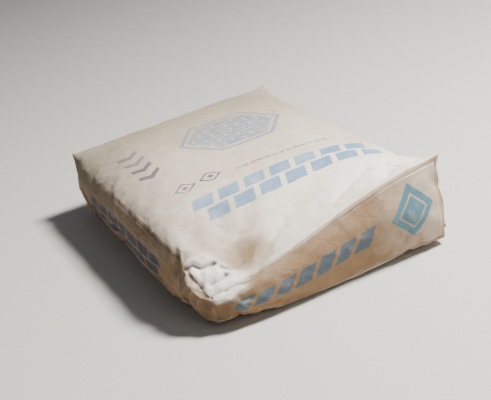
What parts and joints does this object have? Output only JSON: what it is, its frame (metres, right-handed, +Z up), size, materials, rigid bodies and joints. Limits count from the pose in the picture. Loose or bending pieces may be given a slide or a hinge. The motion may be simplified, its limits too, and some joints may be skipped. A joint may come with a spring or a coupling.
{
  "type": "cement bag",
  "caption": "Filled paper cement sack lying on its broad side, with folded and pasted ends under cover sheets, a flattened valve sleeve beside an upright fold and a crushed top corner.",
  "frame": {"origin": "on the floor under the middle of the lying sack: the bottom centre of its box", "axes": "+X along the sack towards the end with the valve, +Y across it towards the side where the valve opens, +Z up through its thickness"},
  "size_m": [0.66, 0.432, 0.147],
  "materials": {
    "kraft_paper": "matt natural and half-bleached kraft paper, printed in blue, dusty and creased",
    "cover_paper": "matt kraft paper sheet, printed in blue, smudged",
    "sleeve_paper": "unbleached brown kraft paper, matt",
    "cement": "fine grey powder, packed, fully matt"
  },
  "bodies": {
    "root": {"paper_sack": "kraft_paper", "cement_fill": "cement", "valve_end_cover": "cover_paper", "base_end_cover": "cover_paper", "valve_sleeve": "sleeve_paper"}
  },
  "joints": []
}
